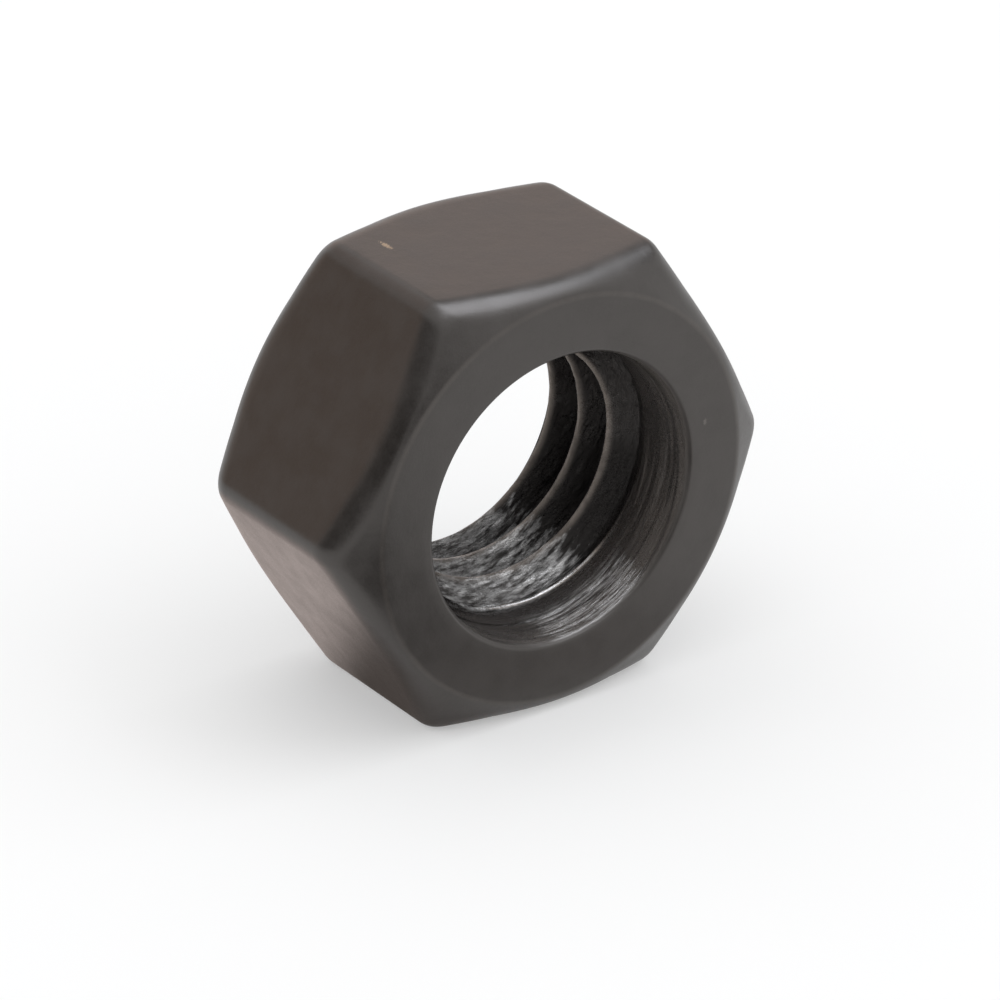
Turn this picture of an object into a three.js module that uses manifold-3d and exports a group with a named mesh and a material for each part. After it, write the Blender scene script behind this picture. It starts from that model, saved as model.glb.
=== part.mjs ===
// A plain hex nut: a hexagonal prism with both faces chamfered and a right-hand internal thread.
// The bore opens in a steep-walled recess at the front (-Y) and in a countersink at the back.
// The thread axis is Y and the nut stands on one of its flats. The origin is on the thread axis,
// midway between the two bearing faces. Units are millimetres.
import * as THREE from 'three';
import { mergeVertices } from 'three/addons/utils/BufferGeometryUtils.js';
import Module from 'manifold-3d';

// Driving dimensions
const ACROSS_FLATS = 12;
const NUT_HEIGHT = 6.5;
const CORNER_RADIUS = 0.5; // rounding between neighbouring flats
const CHAMFER_INSET = 0.4; // from a flat in to the circle where the chamfer starts
const CHAMFER_ANGLE = 30; // degrees, between the chamfer's cone and the bearing face
const THREAD_MAJOR = 8;
const THREAD_PITCH = 1.25;
const COUNTERSINK_MARGIN = 0.5; // the countersink's mouth is this much wider than the thread all round
const COUNTERSINK_ANGLE = 90; // degrees, included
const RECESS_MARGIN = 0.1; // the same for the front recess's mouth
const RECESS_END_MARGIN = 0.02; // and for the bottom of the recess's wall
const RECESS_DEPTH = 1.9;

// How finely round shapes are divided
const THREAD_STEPS = 48; // for each turn, the same on the bore so that their edges line up
const CHAMFER_STEPS = 96;
const CORNER_STEPS = 5;

// Cutters run this far past the faces that they cut
const OVERRUN = 1;

// Proportions of a 60 degree metric thread, as shares of the pitch
const MINOR_DROP = 1.0825; // major diameter less minor diameter
const ROOT_FLAT = 1 / 8;

const FLAT_COUNT = 6;
const HALF_HEIGHT = NUT_HEIGHT / 2;
const MAJOR_RADIUS = THREAD_MAJOR / 2;
const MINOR_RADIUS = (THREAD_MAJOR - MINOR_DROP * THREAD_PITCH) / 2;

const wasm = await Module();
wasm.setup();

function toSolid(geometry) {
  const bare = geometry.clone();
  bare.deleteAttribute('normal');
  bare.deleteAttribute('uv');
  const merged = mergeVertices(bare, 1e-5);
  const mesh = new wasm.Mesh({
    numProp: 3,
    vertProperties: new Float32Array(merged.attributes.position.array),
    triVerts: new Uint32Array(merged.index.array),
  });
  return new wasm.Manifold(mesh);
}

function toGeometry(solid) {
  const mesh = solid.getMesh();
  const geometry = new THREE.BufferGeometry();
  geometry.setAttribute('position', new THREE.BufferAttribute(mesh.vertProperties, 3));
  geometry.setIndex(new THREE.BufferAttribute(mesh.triVerts, 1));
  geometry.computeVertexNormals();
  return geometry;
}

function revolve(profile, steps) {
  const points = profile.map(([radius, y]) => new THREE.Vector2(radius, y));
  return toSolid(new THREE.LatheGeometry(points, steps));
}

// The hexagon has corners on +X and -X, so one flat faces up and one faces down.
function hexagonalPrism() {
  const outline = new THREE.Shape();
  const halfTurn = Math.PI / FLAT_COUNT;
  const arcCentre = (ACROSS_FLATS / 2 - CORNER_RADIUS) / Math.cos(halfTurn);
  for (let corner = 0; corner < FLAT_COUNT; corner++) {
    const angle = corner * 2 * halfTurn;
    const x = arcCentre * Math.cos(angle);
    const y = arcCentre * Math.sin(angle);
    outline.absarc(x, y, CORNER_RADIUS, angle - halfTurn, angle + halfTurn, false);
  }
  const depth = NUT_HEIGHT + 2 * OVERRUN;
  const options = { depth, bevelEnabled: false, curveSegments: CORNER_STEPS };
  const geometry = new THREE.ExtrudeGeometry(outline, options);
  geometry.translate(0, 0, -depth / 2);
  geometry.rotateX(-Math.PI / 2);
  return toSolid(geometry);
}

// A drum as tall as the nut whose two conical ends cut the hexagon's corners away.
function chamferEnvelope() {
  const innerRadius = ACROSS_FLATS / 2 - CHAMFER_INSET;
  const outerRadius = ACROSS_FLATS / 2 / Math.cos(Math.PI / FLAT_COUNT) + OVERRUN;
  const drop = (outerRadius - innerRadius) * Math.tan(THREE.MathUtils.degToRad(CHAMFER_ANGLE));
  const profile = [
    [0, -HALF_HEIGHT],
    [innerRadius, -HALF_HEIGHT],
    [outerRadius, -HALF_HEIGHT + drop],
    [outerRadius, HALF_HEIGHT - drop],
    [innerRadius, HALF_HEIGHT],
    [0, HALF_HEIGHT],
  ];
  return revolve(profile, CHAMFER_STEPS);
}

// The drilled hole at the thread's minor diameter, opened out at each end. The front recess
// narrows a little on its way in and ends in a 45 degree step down to the drilled hole.
function openedBore() {
  const slope = Math.tan(THREE.MathUtils.degToRad(COUNTERSINK_ANGLE / 2));
  const backMouth = MAJOR_RADIUS + COUNTERSINK_MARGIN;
  const backDepth = (backMouth - MINOR_RADIUS) / slope;
  const frontMouth = MAJOR_RADIUS + RECESS_MARGIN;
  const recessEnd = MAJOR_RADIUS + RECESS_END_MARGIN;
  const flare = (frontMouth - recessEnd) / RECESS_DEPTH;
  const stepEnd = RECESS_DEPTH + recessEnd - MINOR_RADIUS;
  const profile = [
    [0, -HALF_HEIGHT - OVERRUN],
    [frontMouth + OVERRUN * flare, -HALF_HEIGHT - OVERRUN],
    [recessEnd, -HALF_HEIGHT + RECESS_DEPTH],
    [MINOR_RADIUS, -HALF_HEIGHT + stepEnd],
    [MINOR_RADIUS, HALF_HEIGHT - backDepth],
    [backMouth + OVERRUN * slope, HALF_HEIGHT + OVERRUN],
    [0, HALF_HEIGHT + OVERRUN],
  ];
  return revolve(profile, THREAD_STEPS);
}

// A right-hand helix about Y. It crosses the nut's middle plane on the +X side.
class Helix extends THREE.Curve {
  constructor(radius, pitch, turns) {
    super();
    this.radius = radius;
    this.pitch = pitch;
    this.turns = turns;
  }

  angleAt(t) {
    return (t - 0.5) * this.turns * 2 * Math.PI + Math.PI / 2;
  }

  getPoint(t, target = new THREE.Vector3()) {
    const angle = this.angleAt(t);
    const y = (t - 0.5) * this.turns * this.pitch;
    return target.set(this.radius * Math.sin(angle), y, this.radius * Math.cos(angle));
  }

  // Every section of the thread lies in a plane through the axis.
  computeFrenetFrames(segments) {
    const tangents = [];
    const normals = [];
    const binormals = [];
    for (let i = 0; i <= segments; i++) {
      const angle = this.angleAt(i / segments);
      tangents.push(new THREE.Vector3(Math.cos(angle), 0, -Math.sin(angle)));
      normals.push(new THREE.Vector3(Math.sin(angle), 0, Math.cos(angle)));
      binormals.push(new THREE.Vector3(0, -1, 0));
    }
    return { tangents, normals, binormals };
  }
}

// The groove between the thread's ridges: a trapezoid with 60 degrees between its flanks.
function threadGroove() {
  const rootHalf = THREAD_PITCH * ROOT_FLAT / 2;
  const depth = MAJOR_RADIUS - MINOR_RADIUS;
  const inward = depth * 0.15; // how far the cutter stands inside the bore's wall
  const innerHalf = rootHalf + (depth + inward) * Math.tan(Math.PI / 6);
  const section = new THREE.Shape([
    new THREE.Vector2(-inward, -innerHalf),
    new THREE.Vector2(depth, -rootHalf),
    new THREE.Vector2(depth, rootHalf),
    new THREE.Vector2(-inward, innerHalf),
  ]);
  // an even number of steps puts a section on the middle plane, in line with the bore's edges
  const length = NUT_HEIGHT + 2 * THREAD_PITCH;
  const steps = 2 * Math.ceil(THREAD_STEPS * length / THREAD_PITCH / 2);
  const path = new Helix(MINOR_RADIUS, THREAD_PITCH, steps / THREAD_STEPS);
  return toSolid(new THREE.ExtrudeGeometry(section, { steps, extrudePath: path }));
}

function hexNut() {
  const blank = hexagonalPrism().intersect(chamferEnvelope());
  const solid = blank.subtract(openedBore()).subtract(threadGroove());
  const blackenedSteel = new THREE.MeshStandardMaterial({
    name: 'black_oxide_steel',
    color: 0x4c4845,
    roughness: 0.42,
    metalness: 0.9,
    flatShading: true,
  });
  const mesh = new THREE.Mesh(toGeometry(solid), blackenedSteel);
  mesh.name = 'hex_nut';
  return mesh;
}

const object = new THREE.Group();
object.add(hexNut());

export default object;
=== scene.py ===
"""Looks of a black oxide hex nut that stands on one flat, in metres, in the CAD frame.

The thread axis is Y and the front face looks along -Y. One piece replaces the CAD node: a dense mesh with
rounded edges, a helical thread and slightly torn thread flanks. A direction around the thread axis is an
angle from +X towards +Z.
"""
import math
from collections import namedtuple

import bmesh
import bpy
import numpy as np
from mathutils import Matrix, Vector


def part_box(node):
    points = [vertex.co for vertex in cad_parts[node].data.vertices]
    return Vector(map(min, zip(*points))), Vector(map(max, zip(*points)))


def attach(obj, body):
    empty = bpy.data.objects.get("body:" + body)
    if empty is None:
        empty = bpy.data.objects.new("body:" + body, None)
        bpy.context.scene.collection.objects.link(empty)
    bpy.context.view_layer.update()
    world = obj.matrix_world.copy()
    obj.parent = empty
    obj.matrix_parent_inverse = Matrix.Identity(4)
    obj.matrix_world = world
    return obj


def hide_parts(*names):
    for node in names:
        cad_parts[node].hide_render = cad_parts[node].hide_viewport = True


MM = 0.001
SEED = 11

# Camera: a long lens, a little above the nut and on the left of the front face. The clip range is in metres.
CAMERA_AZIMUTH = -36.04
CAMERA_ELEVATION = 26.59
CAMERA_DISTANCE = 174.4 * MM
CAMERA_AIM = (-0.066 * MM, -0.616 * MM, -1.062 * MM)
CAMERA_ROLL = 0.638
CAMERA_LENS = 244.4
CAMERA_CLIP = (0.01, 20)
SENSOR_WIDTH = 36

# The nut, where the frame's box doesn't give it
FLAT_COUNT = 6
CORNER_RADII = [size * MM for size in (0.5, 0.35, 0.65, 0.65, 0.45, 0.45)]  # from +X, towards +Z
CHAMFER_INSET = 0.4 * MM
CHAMFER_ANGLE = math.radians(30)
THREAD_MAJOR = 8 * MM
THREAD_PITCH = 1.25 * MM
MINOR_DROP = 1.0825
FLANK_HALF_ANGLE = math.radians(33)
ROOT_HALF = 0.13 * MM  # half the width of the flat at a groove's root
BACK_MOUTH_MARGIN = 0.5 * MM  # the countersink's mouth is this much wider than the thread all round
RECESS_MOUTH_MARGIN = 0.0 * MM  # the same for the front recess's mouth
RECESS_END_MARGIN = -0.09 * MM  # and for the bottom of the recess's wall
RECESS_DEPTH = 1.9 * MM
THREAD_TRACE = 0.03 * MM  # how deep the last turn of the groove shows in the recess's wall
TRACE_DEPTHS = (0.5 * MM, 1.1 * MM)  # that trace fades in between these depths
RELEASE = (-0.25 * MM, 0.5 * MM)  # and the whole groove between these, from the bottom of the recess
FRONT_CUFF = 0.45 * MM  # how far in from each face the bore's rows start to follow the helix
BACK_CUFF = 0.14 * MM

# Rounding of the edges: how far it reaches along the side before it and the side after it, how many points it
# has and how worn it is
Fillet = namedtuple("Fillet", "before after points wear")
FRONT_MOUTH_FILLET = Fillet(0.34 * MM, 0.15 * MM, 9, 0.02)
BACK_MOUTH_FILLET = Fillet(0.08 * MM, 0.12 * MM, 7, 0.02)
RING_FILLET = Fillet(0.10 * MM, 0.10 * MM, 5, 0.07)
SHOULDER_FILLET = Fillet(0.60 * MM, 0.60 * MM, 15, 0.01)
FILLET_LIMIT = 0.75  # share of a side that one fillet may take
CREST_BLEND = 0.09 * MM
ROOT_BLEND = 0.05 * MM
OPENING_BLEND = 0.03 * MM
STEP_BLEND = 0.08 * MM

# Torn thread surface: how far it's pushed about, the size of the tears round and along the thread axis, and
# the size of the calmer and rougher patches
TEAR_DEPTH = 0.020 * MM
TEAR_ROUND = 0.30 * MM
TEAR_ALONG = 0.07 * MM
TEAR_OCTAVES = 3
PATCH_ROUND = 1.6 * MM
PATCH_ALONG = 0.5 * MM
PATCH_SEED = SEED + 7
CALM_SHARE = 0.35  # how much of the tearing is left in the calmest patch

# Wear, partly a painted highlight: 1 on the thread's crests, and more on the burr at the recess's inner edge
CREST_WIDTH = 0.10 * MM
CREST_RISE = 0.16 * MM  # no crest wear further out than this from the minor radius
CREST_FADE = 0.1 * MM
BURR_WEAR = 1.8
# the burr sits low in the nut, where its metal is partly a painted highlight
BURR_ANGLE = math.radians(-77)  # the middle of the burr, and how far it reaches to each side
BURR_REACH = math.radians(34)
BURR_FULL = 0.6  # share of that reach over which it's whole
BURR_RISE = (0.10 * MM, 0.22 * MM)  # it fades out where the thread stands this far in from the recess's wall
BURR_BLEND = 0.03 * MM
BURR_START = (0.45 * MM, 0.30 * MM)  # it sets in this far in front of the recess's bottom

# How finely the mesh is divided
CORNER_COLUMNS = 12
FLAT_COLUMNS = 32
ROWS_PER_PITCH = 40
SIDE_ROWS = 4
SPARE_TURNS = 3  # turns of rows past the nut's height, since the rows slope
ROW_MARGIN = 0.3  # share of a row that bore points keep clear of its two end rings

# The lattice noise's hash
HASH_AXES = (73856093, 19349663, 83492791)
HASH_SEED = 2654435761
HASH_ROUNDS = ((15, 2246822519), (13, 3266489917))
HASH_LAST_SHIFT = 16
WORD = 0xFFFFFFFF
HALF_WORD = 0xFFFF

# Colours of the steel
SKIN_DARK = (0.0120, 0.0100, 0.0090, 1)
SKIN_LIGHT = (0.0200, 0.0172, 0.0160, 1)
SKIN_GRAIN = (0.0250, 0.0225, 0.0210, 1)
# painted shade: the thread inside the bore is painted this dark; the dark line in the recess's wall has the
# same colour
BORE_DARK = (0.0070, 0.0060, 0.0062, 1)
# painted shade: between these the recess is banded, and painted darker the deeper it goes
RECESS_DARK = (0.010, 0.0088, 0.0085, 1)
RECESS_LIGHT = (0.070, 0.062, 0.056, 1)  # in bands, and near the mouth
# partly wear and partly a painted highlight: the thread's pale crests
CREST_WEAR_AND_HIGHLIGHT = (0.26, 0.226, 0.200, 1)
# partly a painted highlight: metal put low in the bore, where highlights fall
BARE_METAL_AND_HIGHLIGHT = (0.66, 0.655, 0.655, 1)
SPECULAR_TINT = (1.0, 0.945, 0.905, 1)
BLEMISHES = (  # where, how large on each axis, and the colour: one fleck of rust and two pale scuffs
    ((-2.31 * MM, 1.32 * MM, 6.00 * MM), (0.09 * MM, 0.30 * MM, 0.1 * MM), (0.30, 0.21, 0.13, 1)),
    ((3.90 * MM, -3.25 * MM, 4.71 * MM), (0.08 * MM, 0.1 * MM, 0.12 * MM), (0.07, 0.062, 0.058, 1)),
    ((4.49 * MM, -3.25 * MM, 0.96 * MM), (0.07 * MM, 0.1 * MM, 0.12 * MM), (0.07, 0.062, 0.058, 1)),
)

# Where its looks change: radii, depths from the front face, and sectors round the thread axis in degrees,
# each with its middle, how far it reaches and how far it's whole
BORE_EDGE = (4.06 * MM, 3.98 * MM)
FACE_EDGE = (5.75 * MM, 5.45 * MM)
THREAD_EDGE = 0.15 * MM
# painted shade: this makes the recess darker deeper in
BAND_DEPTHS = (1.7 * MM, 0.1 * MM)  # the recess's bands get paler from the first to the second
SCRAPE_DEPTHS = (1.6 * MM, 1.0 * MM)  # scrapes set in between these
DARK_LINE_DEPTH = 0.44 * MM  # of a dark line in the recess's wall, on its +X side
DARK_LINE_RISE = 0.34 * MM  # how much deeper that line would be at the very top
DARK_LINE_WIDTH = (0.07 * MM, 0.02 * MM)
DARK_LINE_SECTOR = (-5, 64, 40)
# partly real tears and scrapes, partly a painted highlight: metal is put low in the bore, where highlights
# fall
TORN_HIGHLIGHT_SECTOR = (-88, 48, 18)
SCRAPED_HIGHLIGHT_SECTOR = (-70, 36, 4)
# painted shade: a sector of the thread with weaker reflections
PAINTED_SHADE_SECTOR = (-42, 48, 18)

# Patterns in the material, and the relief that they give: strength and depth
Pattern = namedtuple("Pattern", "size detail roughness", defaults=(0.5,))
MOTTLE = Pattern(0.9 * MM, 4, 0.6)
GRAIN = Pattern(0.045 * MM, 4, 0.7)
PATCHY = Pattern(0.35 * MM, 3)
STREAKS = Pattern(0.07 * MM, 5, 0.65)
FINE_STREAKS = Pattern(0.02 * MM, 3)
BANDS = Pattern(0.20 * MM, 3)
TEARS = Pattern(0.075 * MM, 5, 0.65)
STREAK_BEND = 0.25 * MM  # how fast a streak changes on its way round
TEAR_BEND = 0.6 * MM  # the same for the tears in the thread
MOTTLE_RELIEF = (1.0, 0.012 * MM)
GRAIN_RELIEF = (0.35, 0.004 * MM)
FACE_RELIEF = (0.25, 0.004 * MM)
BORE_RELIEF = (1.0, 0.08 * MM)
FINE_RELIEF = (0.6, 0.012 * MM)

# Gloss of the steel: pairs are for the low and the high end of a pattern
OXIDE_IOR = 1.65
MOTTLE_ROUGHNESS = (0.30, 0.38)
GRAIN_ROUGHNESS = (-0.03, 0.05)
BORE_POLISH = 0.06  # how much less rough the bore is
METAL_SHARE = 0.9
SPECULAR_LEVEL = 0.5
# painted shade: the specular level in that sector of the thread
PAINTED_SHADE_LEVEL = 0.2

# Floor and light. A card is seen in reflections and nowhere else. It has a direction and a distance from the
# origin, and it faces the nut or another way. Its softness is the share of its width that fades at each edge.
FLOOR_HALF_WIDTH = 2
FLOOR_GREY = 0.62
FLOOR_ROUGHNESS = 0.9
FLOOR_GLOW = 0.33
UP = (0, 0, 1)
Card = namedtuple("Card", "azimuth elevation distance size colour facing softness", defaults=(None, 0.18))
# painted shadow and painted light: the cards that face up lie on the floor by the nut and stand in for it in
# reflections; the dim ones are painted shadow where the floor near the nut is shaded, and card_floor is
# painted light over that shade
CARDS = {
    "card_window": Card(80, 76, 0.5, (0.55, 0.30), (4.9, 5.1, 5.5)),
    "card_sky": Card(85, 54, 0.5, (0.50, 0.16), (2.9, 3.05, 3.3)),
    "card_side": Card(95, 36, 0.3, (0.34, 0.12), (0.25, 0.24, 0.23)),
    "card_edge": Card(-168, 43, 0.15, (0.12, 0.07), (0.80, 0.66, 0.60)),
    "card_behind": Card(150, -15, 0.0227, (0.030, 0.026), (0.25, 0.22, 0.20), UP),
    "card_shade": Card(-80, 20, 0.12, (0.24, 0.13), (0.04, 0.035, 0.03)),
    "card_warm": Card(-146, 12, 0.14, (0.13, 0.11), (0.56, 0.42, 0.34)),
    "card_above": Card(134, 44, 0.16, (0.12, 0.05), (0.20, 0.18, 0.17)),
    "card_back": Card(150, 20, 0.15, (0.18, 0.08), (1.07, 0.88, 0.80)),
    "card_low": Card(-23, -22, 0.0155, (0.016, 0.014), (0.06, 0.055, 0.055), UP),
    "card_floor": Card(-140, -37, 0.0098, (0.016, 0.014), (1.25, 1.08, 1.02), UP),
    "card_contact": Card(-83.1, -54.0, 0.00722, (0.008, 0.008), (0.22, 0.185, 0.17), UP, 0.42),
    "card_front": Card(9.5, -44.1, 0.00847, (0.014, 0.006), (0.50, 0.48, 0.47), UP, 0.4),
    "card_dim": Card(-16, 15, 0.15, (0.10, 0.050), (0.10, 0.095, 0.095)),
}


def arc_centre(corner_radius):
    """How far from the thread axis a corner's rounding has its centre."""
    return (APOTHEM - corner_radius) / math.cos(math.pi / FLAT_COUNT)


def arc_reach(corner_radius):
    """Half the angle, seen from the thread axis, that a rounded corner takes up."""
    half = math.pi / FLAT_COUNT
    outward = arc_centre(corner_radius) + corner_radius * math.cos(half)
    return math.atan2(corner_radius * math.sin(half), outward)


def column_angles():
    """The angles of the mesh's columns, closer together across each rounded corner."""
    sector = 2 * math.pi / FLAT_COUNT
    angles = []
    for corner, size in enumerate(CORNER_RADII):
        reach = arc_reach(size)
        following = arc_reach(CORNER_RADII[(corner + 1) % FLAT_COUNT])
        middle = corner * sector
        angles.append(middle - reach + 2 * reach * np.arange(CORNER_COLUMNS) / CORNER_COLUMNS)
        angles.append(middle + reach + (sector - reach - following) * np.arange(FLAT_COLUMNS) / FLAT_COLUMNS)
    return np.concatenate(angles)


def hexagon_radius(angles):
    """Distance from the thread axis to the rounded hexagon, in each direction."""
    sector = 2 * math.pi / FLAT_COUNT
    off_corner = np.abs((angles + sector / 2) % sector - sector / 2)
    corner = np.round(angles / sector).astype(int) % FLAT_COUNT
    size = np.array(CORNER_RADII)[corner]
    centre = np.array([arc_centre(value) for value in CORNER_RADII])[corner]
    reach = np.array([arc_reach(value) for value in CORNER_RADII])[corner]
    inside = np.maximum(size ** 2 - (centre * np.sin(off_corner)) ** 2, 0)
    arc = centre * np.cos(off_corner) + np.sqrt(inside)
    return np.where(off_corner < reach, arc, APOTHEM / np.cos(sector / 2 - off_corner))


def smooth_min(a, b, reach):
    blend = np.clip(0.5 + 0.5 * (b - a) / reach, 0, 1)
    return b + (a - b) * blend - reach * blend * (1 - blend)


def smooth_max(a, b, reach):
    return -smooth_min(-a, -b, reach)


def ramp(value, low, high):
    t = np.clip((value - low) / (high - low), 0, 1)
    return t * t * (3 - 2 * t)


def lattice_noise(points, scale, seed):
    """Smooth noise from -1 to 1 at points, in cells of the given size on each axis."""
    cell = points / np.asarray(scale)
    low = np.floor(cell).astype(np.int64)
    part = cell - low
    part = part * part * (3 - 2 * part)
    total = np.zeros(len(points))
    for corner in range(8):
        step = np.array([corner & 1, corner >> 1 & 1, corner >> 2 & 1])
        weight = np.prod(np.where(step, part, 1 - part), axis=1)
        key = (low + step) * np.array(HASH_AXES)
        mixed = (key[:, 0] ^ key[:, 1] ^ key[:, 2] ^ (seed * HASH_SEED)) & WORD
        for shift, factor in HASH_ROUNDS:
            mixed = (mixed ^ (mixed >> shift)) * factor & WORD
        total += weight * (((mixed ^ (mixed >> HASH_LAST_SHIFT)) & HALF_WORD) / (HALF_WORD / 2) - 1)
    return total


def fillet(before, corner, after, shape):
    """Points of a parabolic fillet at corner, for every column. Each point is (radius, y)."""
    def towards(end, reach):
        step = end - corner
        length = np.linalg.norm(step, axis=-1, keepdims=True)
        return corner + step / length * np.minimum(reach, FILLET_LIMIT * length)

    start = towards(before, shape.before)
    end = towards(after, shape.after)
    points = []
    for t in np.linspace(0, 1, shape.points):
        points.append((1 - t) ** 2 * start + 2 * t * (1 - t) * corner + t ** 2 * end)
    return points


def straight(start, end, rows):
    """Points strictly between start and end, for every column."""
    return [start + (end - start) * t for t in np.linspace(0, 1, rows + 2)[1:-1]]


def recess_radius(y):
    """The front recess: a wall that narrows a little on its way in, then a 45 degree step."""
    depth = HALF_HEIGHT + y
    mouth = MAJOR_RADIUS + RECESS_MOUTH_MARGIN
    end = MAJOR_RADIUS + RECESS_END_MARGIN
    wall = mouth - (mouth - end) * depth / RECESS_DEPTH
    return smooth_min(wall, end - (depth - RECESS_DEPTH), STEP_BLEND)


def countersink_radius(y):
    """The back countersink, a 90 degree cone."""
    return MAJOR_RADIUS + BACK_MOUTH_MARGIN - (HALF_HEIGHT - y)


def half_profile(angles, side):
    """Rings of (radius, y) from inside one mouth, over its face and chamfer, to just short of the middle.

    Also gives how worn each ring is, and the ring in the middle. The front's side is -1 and the back's is 1.
    """
    radius = hexagon_radius(angles)
    ring = APOTHEM - CHAMFER_INSET
    drop = (radius - ring) * math.tan(CHAMFER_ANGLE)
    same = np.ones_like(angles)
    face = side * HALF_HEIGHT

    def spot(r, y):
        return np.stack([r * same, y * same], axis=-1)

    if side < 0:
        opening, inner, mouth = recess_radius, FRONT_END, FRONT_MOUTH_FILLET
    else:
        opening, inner, mouth = countersink_radius, BACK_END, BACK_MOUTH_FILLET
    corners = [
        spot(opening(inner), inner),
        spot(opening(face), face),
        spot(ring, face),
        spot(radius, face - side * drop),
        spot(radius, 0),
    ]
    rings = [corners[0]]
    edges = [0.0]
    for index, shape in enumerate((mouth, RING_FILLET, SHOULDER_FILLET), start=1):
        curve = fillet(corners[index - 1], corners[index], corners[index + 1], shape)
        rings += straight(rings[-1], curve[0], SIDE_ROWS) + curve
        edges += [0.0] * SIDE_ROWS
        edges += [shape.wear * math.sin(math.pi * t) for t in np.linspace(0, 1, shape.points)]
    rings += straight(rings[-1], corners[-1], SIDE_ROWS)
    edges += [0.0] * SIDE_ROWS
    return rings, edges, corners[-1]


def outer_profile(angles):
    """Rings from inside the front mouth, over the outside, to inside the back one, and how worn each is."""
    front, front_edges, middle = half_profile(angles, -1)
    back, back_edges, _ = half_profile(angles, 1)
    return front + [middle] + back[::-1], front_edges + [0.0] + back_edges[::-1]


def thread_radius(angles, y):
    """The thread's radius before it's torn, and how far along the thread axis the groove's middle is."""
    turn = (y + THREAD_PITCH * angles / (2 * math.pi)) / THREAD_PITCH
    off_groove = np.abs(turn - np.round(turn)) * THREAD_PITCH
    flank = MAJOR_RADIUS - (off_groove - ROOT_HALF) / math.tan(FLANK_HALF_ANGLE)
    groove = smooth_min(flank, MAJOR_RADIUS, ROOT_BLEND)
    return smooth_max(groove, MINOR_RADIUS, CREST_BLEND), off_groove


def torn_surface(angles, y):
    """How far the thread's surface is pushed outwards, in calmer and rougher patches."""
    around = place(angles, MAJOR_RADIUS, y)
    tears = 0
    for octave in range(TEAR_OCTAVES):
        share = 0.5 ** octave
        cells = (TEAR_ROUND * share, TEAR_ALONG * share, TEAR_ROUND * share)
        tears = tears + share * lattice_noise(around, cells, SEED + octave)
    patches = 0.5 + 0.5 * lattice_noise(around, (PATCH_ROUND, PATCH_ALONG, PATCH_ROUND), PATCH_SEED)
    return TEAR_DEPTH * tears * (CALM_SHARE + (1 - CALM_SHARE) * patches)


def burr_wear(angles, depth, rise):
    """Wear on the burr, where the thread rises a little from the recess's wall; the metal it shows is partly
    a painted highlight.
    """
    burr = ramp(-rise, -BURR_RISE[1], -BURR_RISE[0]) * ramp(rise, -BURR_BLEND, BURR_BLEND)
    burr = burr * ramp(depth, RECESS_DEPTH - BURR_START[0], RECESS_DEPTH - BURR_START[1])
    near = np.cos(angles - BURR_ANGLE)
    burr = burr * ramp(near, math.cos(BURR_REACH), math.cos(BURR_FULL * BURR_REACH))
    return BURR_WEAR * burr


def bore_surface(angles, y):
    """The bore wall's radius and its wear: crests at the minor radius, grooves out to the major radius."""
    plain, off_groove = thread_radius(angles, y)
    thread = plain + torn_surface(angles, y)
    depth = HALF_HEIGHT + y
    recess = recess_radius(y)
    # the recess's wall shows a trace of the groove, and past its bottom nothing holds the groove back
    trace = THREAD_TRACE * ramp(depth, *TRACE_DEPTHS)
    trace = trace + 3 * HALF_HEIGHT * ramp(depth, RECESS_DEPTH + RELEASE[0], RECESS_DEPTH + RELEASE[1])
    wall = smooth_max(np.minimum(thread, recess + trace), recess, OPENING_BLEND)
    wall = smooth_max(wall, countersink_radius(y), OPENING_BLEND)
    off_crest = THREAD_PITCH / 2 - off_groove
    # crest wear, partly a painted highlight
    crest = np.exp(-(off_crest / CREST_WIDTH) ** 2) * ramp(MINOR_RADIUS + CREST_RISE - wall, 0, CREST_FADE)
    return wall, np.maximum(crest, burr_wear(angles, depth, recess - plain))


def place(angles, radius, y):
    """Points at a radius and a y, in each direction around the thread axis."""
    return np.stack([radius * np.cos(angles), y, radius * np.sin(angles)], axis=-1)


def outer_faces(ring_count, columns):
    """Quads between neighbouring rings."""
    faces = []
    for row in range(ring_count - 1):
        here = row * columns + np.arange(columns)
        there = here + columns
        faces.append(np.stack([here, np.roll(here, -1), np.roll(there, -1), there], axis=-1))
    return faces


def bore_rows(angles):
    """The y of each column's point on each row. A row falls by one pitch in a full turn."""
    start = angles[0]
    turns = math.ceil(2 * HALF_HEIGHT / THREAD_PITCH) + SPARE_TURNS
    rows = np.arange(turns * ROWS_PER_PITCH + 1)
    fall = THREAD_PITCH * (angles - start) / (2 * math.pi)
    level = (rows / ROWS_PER_PITCH - 0.5 * turns + 0.5) * THREAD_PITCH
    level = level - THREAD_PITCH * start / (2 * math.pi)
    return level[None, :] - fall[:, None]


def bore_faces(ids):
    """Quads between neighbouring points of the bore, whose ids are given for each column and row."""
    between_columns = np.stack([ids[:-1, :-1], ids[:-1, 1:], ids[1:, 1:], ids[1:, :-1]], axis=-1)
    # the last column meets the first, one pitch of rows further on
    near = ids[-1][ROWS_PER_PITCH:]
    far = ids[0][:-ROWS_PER_PITCH]
    across_seam = np.stack([near[:-1], near[1:], far[1:], far[:-1]], axis=-1)
    return [between_columns.reshape(-1, 4), across_seam]


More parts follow.
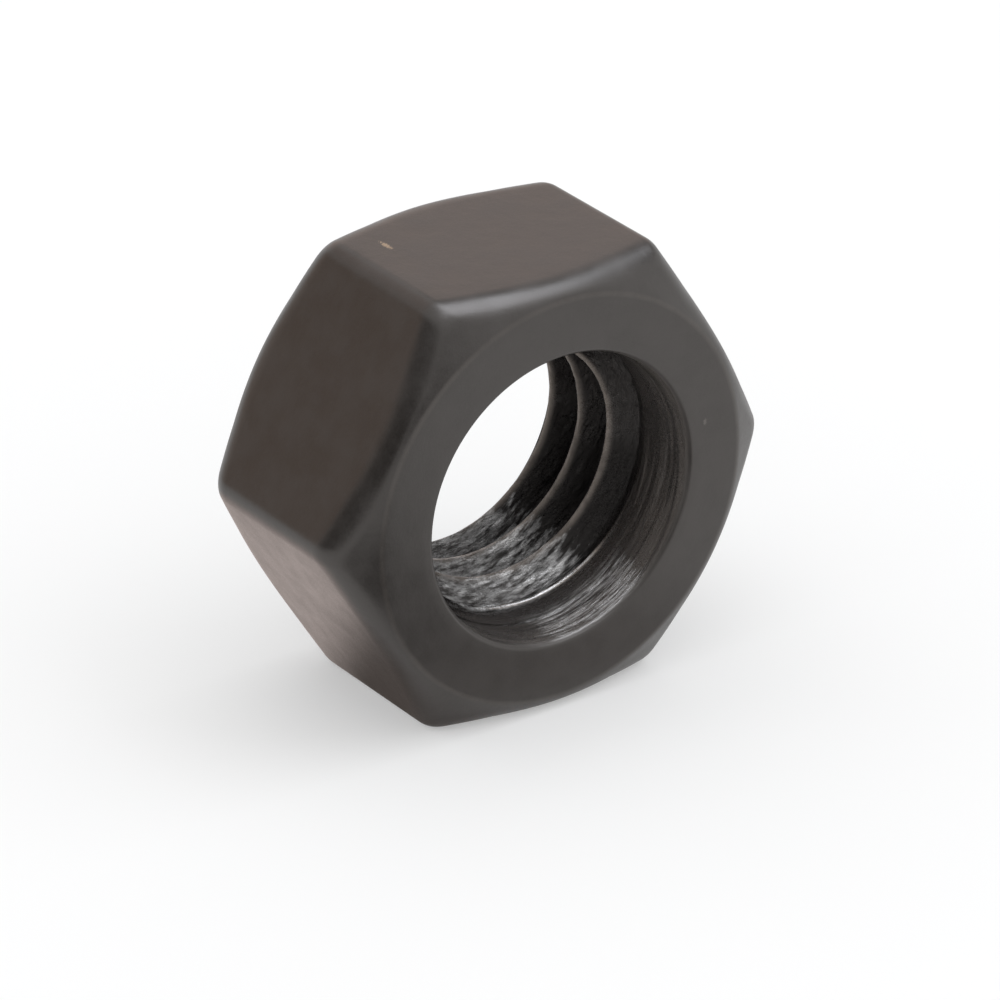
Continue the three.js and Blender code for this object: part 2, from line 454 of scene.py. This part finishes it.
def nut_mesh():
    """One closed mesh: rings over the outside, and rows that follow the helix through the bore."""
    angles = column_angles()
    columns = len(angles)
    rings, edges = outer_profile(angles)
    outside = [place(angles, ring[:, 0], ring[:, 1]) for ring in rings]

    y = bore_rows(angles)
    margin = ROW_MARGIN * THREAD_PITCH / ROWS_PER_PITCH
    inside = (y > FRONT_END + margin) & (y < BACK_END - margin)
    bore_angles = angles[np.nonzero(inside)[0]]
    bore_y = y[inside]
    wall, bore_wear = bore_surface(bore_angles, bore_y)

    # a point past either end of the bore's rows is the end ring's point in the same column
    column_ids = np.broadcast_to(np.arange(columns)[:, None], y.shape)
    ids = np.where(y < 0, column_ids, (len(rings) - 1) * columns + column_ids)
    ids[inside] = len(rings) * columns + np.arange(inside.sum())

    vertices = np.concatenate(outside + [place(bore_angles, wall, bore_y)])
    faces = np.concatenate(outer_faces(len(rings), columns) + bore_faces(ids))
    wear = np.concatenate([np.repeat(edges, columns), bore_wear])
    return vertices, faces, wear


def make_object(name, vertices, faces, wear):
    """Builds the mesh, leaving out faces that shrank to nothing."""
    clean = []
    for face in faces.tolist():
        kept = [v for i, v in enumerate(face) if v != face[i - 1]]
        if len(set(kept)) >= 3:
            clean.append(kept)
    mesh = bpy.data.meshes.new(name)
    mesh.from_pydata(vertices.tolist(), [], clean)
    mesh.attributes.new("wear", "FLOAT", "POINT").data.foreach_set("value", wear.astype(np.float32))
    work = bmesh.new()
    work.from_mesh(mesh)
    bmesh.ops.delete(work, geom=[v for v in work.verts if not v.link_faces], context="VERTS")
    bmesh.ops.recalc_face_normals(work, faces=work.faces)
    work.to_mesh(mesh)
    work.free()
    mesh.polygons.foreach_set("use_smooth", [True] * len(mesh.polygons))
    piece = bpy.data.objects.new(name, mesh)
    bpy.context.scene.collection.objects.link(piece)
    return piece


class Nodes:
    """A new material's nodes. An input is a plain value or another node's output."""

    def __init__(self, name):
        self.material = bpy.data.materials.new(name)
        self.material.use_nodes = True
        self.tree = self.material.node_tree

    def feed(self, socket, value):
        if isinstance(value, bpy.types.NodeSocket):
            self.tree.links.new(value, socket)
        else:
            socket.default_value = value

    def add(self, kind, inputs, **settings):
        """Adds a node and gives back its outputs."""
        node = self.tree.nodes.new(kind)
        for key, value in settings.items():
            setattr(node, key, value)
        for name, value in inputs.items():
            self.feed(node.inputs[name], value)
        return node.outputs

    def calculate(self, operation, a, b=0.0):
        return self.add("ShaderNodeMath", {0: a, 1: b}, operation=operation)[0]

    def plus(self, a, b):
        return self.calculate("ADD", a, b)

    def times(self, a, b):
        return self.calculate("MULTIPLY", a, b)

    def vector(self, operation, *inputs):
        outputs = self.add("ShaderNodeVectorMath", dict(enumerate(inputs)), operation=operation)
        return outputs["Value" if operation in ("LENGTH", "DOT_PRODUCT") else "Vector"]

    def axes(self, vector):
        return self.add("ShaderNodeSeparateXYZ", {0: vector})

    def spread(self, value, low, high, to_low=0.0, to_high=1.0):
        """Goes smoothly from to_low to to_high while the value goes from low to high."""
        inputs = {0: value, 1: low, 2: high, 3: to_low, 4: to_high}
        return self.add("ShaderNodeMapRange", inputs, interpolation_type="SMOOTHSTEP")[0]

    def blend(self, share, a, b):
        """Mixes two colours. These are the colour sockets of a node that also has others."""
        return self.add("ShaderNodeMix", {0: share, 6: a, 7: b}, data_type="RGBA")[2]

    def noise(self, coordinates, pattern):
        inputs = {"Vector": coordinates, "Scale": 1 / pattern.size}
        inputs.update({"Detail": pattern.detail, "Roughness": pattern.roughness})
        return self.add("ShaderNodeTexNoise", inputs)[0]


class BlackOxide(Nodes):
    """Nearly black, satin and a little warm, glossier in the bore, with metal showing where it's worn. Low in
    the bore that metal is partly a painted highlight, and the thread's darker colour and its weaker
    reflections in one sector are painted shade.
    """

    def __init__(self):
        super().__init__("black_oxide_steel")
        self.find_places()
        self.make_patterns()
        # partly wear and partly a painted highlight: metal shown low in the bore
        metal_and_highlight = self.metal_and_highlight_mask()
        # painted shade: weaker reflections in a sector of the thread
        painted_shade = self.times(self.in_thread, self.near(PAINTED_SHADE_SECTOR))
        shader = self.tree.nodes["Principled BSDF"].inputs
        self.feed(shader["Base Color"], self.blemished(self.blend(metal_and_highlight, self.oxide(), BARE_METAL_AND_HIGHLIGHT)))
        self.feed(shader["Metallic"], self.times(metal_and_highlight, METAL_SHARE))
        self.feed(shader["Roughness"], self.roughness())
        self.feed(shader["IOR"], OXIDE_IOR)
        self.feed(shader["Specular Tint"], SPECULAR_TINT)
        self.feed(shader["Specular IOR Level"], self.spread(painted_shade, 0.0, 1.0, SPECULAR_LEVEL, PAINTED_SHADE_LEVEL))
        self.feed(shader["Normal"], self.relief())

    def find_places(self):
        """Which part of the nut a point is on, and its place from the thread axis."""
        self.point = self.add("ShaderNodeTexCoord", {})["Object"]
        self.y = self.axes(self.point)["Y"]
        around = self.vector("MULTIPLY", self.point, (1, 0, 1))
        self.radius = self.vector("LENGTH", around)
        self.heading = self.vector("NORMALIZE", around)
        self.on_face = self.spread(self.radius, *FACE_EDGE)
        self.in_bore = self.spread(self.radius, *BORE_EDGE)
        past_recess = self.spread(self.y, THREAD_START, THREAD_START + THREAD_EDGE)
        self.in_thread = self.times(self.in_bore, past_recess)
        self.in_recess = self.calculate("SUBTRACT", self.in_bore, self.in_thread)
        # wear on crests, edges and the burr, partly a painted highlight
        self.worn = self.add("ShaderNodeAttribute", {}, attribute_name="wear")["Fac"]

    def near(self, sector):
        """1 where a sector round the thread axis is whole, and 0 outside it."""
        middle, reach, whole = (math.radians(degrees) for degrees in sector)
        off = self.vector("DOT_PRODUCT", self.heading, (math.cos(middle), 0, math.sin(middle)))
        return self.spread(off, math.cos(reach), math.cos(whole))

    def make_patterns(self):
        """Even noises, and noises that are drawn out round the thread axis."""
        self.mottle = self.noise(self.point, MOTTLE)
        self.grain = self.noise(self.point, GRAIN)
        self.patchy = self.noise(self.point, PATCHY)
        # streaks are spaced out by radius on the faces and by y in the bore, tears only by y
        along = self.vector("MULTIPLY", self.point, (0, 1, 0))
        outward = self.add("ShaderNodeCombineXYZ", {0: 0.0, 1: self.radius, 2: 0.0})[0]
        streak_bend = self.vector("MULTIPLY", self.heading, (STREAK_BEND, 0, STREAK_BEND))
        streak_place = self.vector("ADD", streak_bend, self.vector("ADD", along, outward))
        self.streaks = self.noise(streak_place, STREAKS)
        self.fine_streaks = self.noise(streak_place, FINE_STREAKS)
        self.bands = self.noise(streak_place, BANDS)
        tear_bend = self.vector("MULTIPLY", self.heading, (TEAR_BEND, 0, TEAR_BEND))
        self.tears = self.noise(self.vector("ADD", tear_bend, along), TEARS)

    def oxide(self):
        """The black skin: banded in the recess and painted darker deeper in it as shade, painted darker in
        the thread as shade, and pale on its crests, partly from wear and partly as a painted highlight.
        """
        skin = self.blend(self.spread(self.mottle, 0.3, 0.7), SKIN_DARK, SKIN_LIGHT)
        skin = self.blend(self.spread(self.grain, 0.35, 0.75, 0.0, 0.55), skin, SKIN_GRAIN)
        deep, shallow = BAND_DEPTHS
        # painted shade: the recess gets darker the deeper it goes
        paler = self.spread(self.y, deep - HALF_HEIGHT, shallow - HALF_HEIGHT, -0.16, 0.12)
        banded = self.spread(self.plus(self.bands, paler), 0.38, 0.62)
        skin = self.blend(self.in_recess, skin, self.blend(banded, RECESS_DARK, RECESS_LIGHT))
        skin = self.blend(self.dark_recess_line(), skin, BORE_DARK)
        # painted shade: the thread is painted darker inside the bore
        skin = self.blend(self.in_thread, skin, BORE_DARK)
        # partly wear and partly a painted highlight: crests and edges painted pale
        rubbed_and_highlight = self.times(self.worn, self.spread(self.patchy, 0.3, 0.6, 0.65, 1.0))
        return self.blend(rubbed_and_highlight, skin, CREST_WEAR_AND_HIGHLIGHT)

    def dark_recess_line(self):
        """A dark line round part of the recess's wall."""
        upward = self.axes(self.heading)["Z"]
        level = self.plus(self.times(upward, DARK_LINE_RISE), DARK_LINE_DEPTH - HALF_HEIGHT)
        off_line = self.calculate("ABSOLUTE", self.calculate("SUBTRACT", self.y, level))
        line = self.times(self.spread(off_line, *DARK_LINE_WIDTH, 0.0, 0.8), self.near(DARK_LINE_SECTOR))
        return self.times(line, self.in_recess)

    def metal_and_highlight_mask(self):
        """How much metal shows: in tears low in the thread, in scrapes low in the recess, and on the burr,
        each partly a painted highlight.

        It shows where a noise is above a level that rises away from the middle of a sector.
        """
        torn = self.plus(self.tears, self.spread(self.near(TORN_HIGHLIGHT_SECTOR), 0, 1, -0.30, 0.0))
        torn = self.spread(torn, 0.36, 0.64, 0.0, 0.85)
        torn = self.times(torn, self.spread(self.streaks, 0.30, 0.65, 0.35, 1.0))
        scraped = self.plus(self.streaks, self.times(self.tears, 0.6))
        scraped = self.plus(scraped, self.spread(self.near(SCRAPED_HIGHLIGHT_SECTOR), 0, 1, -0.62, -0.28))
        deep, shallow = SCRAPE_DEPTHS
        outer = self.spread(self.y, deep - HALF_HEIGHT, shallow - HALF_HEIGHT)
        scraped = self.times(self.spread(scraped, 0.40, 0.66, 0.0, 0.75), outer)
        torn = self.times(torn, self.in_thread)
        scraped = self.times(scraped, self.in_recess)
        burr = self.spread(self.worn, 1.0, 1.7, 0.0, 0.85)
        return self.calculate("MAXIMUM", self.calculate("MAXIMUM", torn, scraped), burr)

    def blemished(self, skin):
        """Adds the blemishes, with ragged edges."""
        ragged = self.spread(self.grain, 0.3, 0.7, -0.4, 0.4)
        for spot, size, colour in BLEMISHES:
            offset = self.vector("SUBTRACT", self.point, spot)
            reach = self.vector("LENGTH", self.vector("MULTIPLY", offset, [1 / width for width in size]))
            skin = self.blend(self.spread(self.plus(reach, ragged), 1.0, 0.4), skin, colour)
        return skin

    def roughness(self):
        mottled = self.spread(self.mottle, 0.25, 0.75, *MOTTLE_ROUGHNESS)
        satin = self.plus(mottled, self.spread(self.grain, 0.3, 0.7, *GRAIN_ROUGHNESS))
        return self.calculate("SUBTRACT", satin, self.times(self.in_bore, BORE_POLISH))

    def relief(self):
        """A surface direction that's bumped by one pattern after another."""
        layers = (
            (self.mottle, MOTTLE_RELIEF),
            (self.grain, GRAIN_RELIEF),
            (self.times(self.streaks, self.on_face), FACE_RELIEF),
            (self.times(self.streaks, self.in_bore), BORE_RELIEF),
            (self.times(self.fine_streaks, self.in_bore), FINE_RELIEF),
        )
        surface = {}
        for height, (strength, depth) in layers:
            inputs = {"Height": height, "Strength": strength, "Distance": depth, **surface}
            surface = {"Normal": self.add("ShaderNodeBump", inputs)[0]}
        return surface["Normal"]


def square(name, half_width):
    """A flat square that faces up."""
    mesh = bpy.data.meshes.new(name)
    work = bmesh.new()
    bmesh.ops.create_grid(work, x_segments=1, y_segments=1, size=half_width)
    work.to_mesh(mesh)
    work.free()
    piece = bpy.data.objects.new(name, mesh)
    bpy.context.scene.collection.objects.link(piece)
    return piece


def make_floor():
    floor = square("floor", FLOOR_HALF_WIDTH)
    floor.location.z = LOW.z
    white = Nodes("floor_white")
    shader = white.tree.nodes["Principled BSDF"].inputs
    shader["Base Color"].default_value = (FLOOR_GREY, FLOOR_GREY, FLOOR_GREY, 1)
    shader["Roughness"].default_value = FLOOR_ROUGHNESS
    shader["Specular IOR Level"].default_value = 0
    shader["Emission Color"].default_value = (1, 1, 1, 1)
    shader["Emission Strength"].default_value = FLOOR_GLOW
    floor.data.materials.append(white.material)


def direction(azimuth, elevation):
    """Azimuth 0 is the -Y side, and azimuths grow towards +X."""
    a, e = math.radians(azimuth), math.radians(elevation)
    return Vector((math.sin(a) * math.cos(e), -math.cos(a) * math.cos(e), math.sin(e)))


def area_light(name, azimuth, elevation, distance, size, power, colour):
    data = bpy.data.lights.new(name, "AREA")
    data.shape = "RECTANGLE"
    data.size, data.size_y = size
    data.energy = power
    data.color = colour
    light = bpy.data.objects.new(name, data)
    light.location = direction(azimuth, elevation) * distance
    light.rotation_euler = direction(azimuth, elevation).to_track_quat("Z", "Y").to_euler()
    light.visible_camera = False
    bpy.context.scene.collection.objects.link(light)


def soft_glow(name, colour, softness):
    """Material of a card that's one unit wide and high: it glows, and fades out towards its edges."""
    nodes = Nodes(name)
    nodes.tree.nodes.remove(nodes.tree.nodes["Principled BSDF"])
    glow = nodes.add("ShaderNodeEmission", {"Color": (*colour, 1)})[0]
    clear = nodes.add("ShaderNodeBsdfTransparent", {})[0]
    off = nodes.axes(nodes.vector("ABSOLUTE", nodes.add("ShaderNodeTexCoord", {})["Object"]))
    across = nodes.spread(off["X"], 0.5, 0.5 - softness)
    upright = nodes.spread(off["Y"], 0.5, 0.5 - softness)
    cover = nodes.add("ShaderNodeMixShader", {0: nodes.times(across, upright), 1: clear, 2: glow})[0]
    nodes.feed(nodes.tree.nodes["Material Output"].inputs["Surface"], cover)
    return nodes.material


def reflector(name, shape):
    """A glowing card, as the list of cards describes it."""
    towards = direction(shape.azimuth, shape.elevation)
    card = square(name, 0.5)
    card.scale = (*shape.size, 1)
    card.location = towards * shape.distance
    card.rotation_euler = Vector(shape.facing or towards).to_track_quat("Z", "Y").to_euler()
    card.visible_camera = False
    card.visible_diffuse = False
    card.visible_shadow = False
    card.visible_transmission = False
    card.visible_volume_scatter = False
    card.data.materials.append(soft_glow(name, shape.colour, shape.softness))


def make_lights():
    world = bpy.data.worlds.new("studio")
    world.use_nodes = True
    background = world.node_tree.nodes["Background"]
    background.inputs["Color"].default_value = (1, 1, 1, 1)
    background.inputs["Strength"].default_value = 1.0
    bpy.context.scene.world = world
    soft = {"size": (0.5, 0.35), "power": 0.6, "colour": (0.92, 0.96, 1.0)}
    area_light("softbox", azimuth=60, elevation=50, distance=0.6, **soft)
    for name, shape in CARDS.items():
        reflector(name, shape)


def make_camera():
    data = bpy.data.cameras.new("camera")
    data.sensor_width = SENSOR_WIDTH
    data.lens = CAMERA_LENS
    data.clip_start, data.clip_end = CAMERA_CLIP
    camera = bpy.data.objects.new("camera", data)
    place_at = direction(CAMERA_AZIMUTH, CAMERA_ELEVATION) * CAMERA_DISTANCE
    look = (Vector(CAMERA_AIM) - place_at).to_track_quat("-Z", "Y").to_matrix().to_4x4()
    roll = Matrix.Rotation(math.radians(CAMERA_ROLL), 4, "Z")
    camera.matrix_world = Matrix.Translation(place_at) @ look @ roll
    bpy.context.scene.collection.objects.link(camera)
    bpy.context.scene.camera = camera


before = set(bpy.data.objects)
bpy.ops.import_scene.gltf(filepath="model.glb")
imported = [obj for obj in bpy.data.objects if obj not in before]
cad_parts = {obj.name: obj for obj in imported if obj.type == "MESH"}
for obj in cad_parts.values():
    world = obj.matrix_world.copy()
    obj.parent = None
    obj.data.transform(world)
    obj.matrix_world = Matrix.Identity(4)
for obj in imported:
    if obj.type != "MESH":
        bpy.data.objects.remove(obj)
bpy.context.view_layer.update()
LOW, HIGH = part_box("hex_nut")
HALF_HEIGHT = HIGH.y
APOTHEM = HIGH.z
MAJOR_RADIUS = THREAD_MAJOR / 2
MINOR_RADIUS = MAJOR_RADIUS - MINOR_DROP * THREAD_PITCH / 2
THREAD_START = RECESS_DEPTH - HALF_HEIGHT
FRONT_END = FRONT_CUFF - HALF_HEIGHT
BACK_END = HALF_HEIGHT - BACK_CUFF

bpy.context.scene.view_settings.view_transform = "Standard"
make_camera()
make_floor()
make_lights()
nut = make_object("hex_nut_body", *nut_mesh())
nut.data.materials.append(BlackOxide().material)
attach(nut, "root")
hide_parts("hex_nut")

bpy.context.view_layer.update()
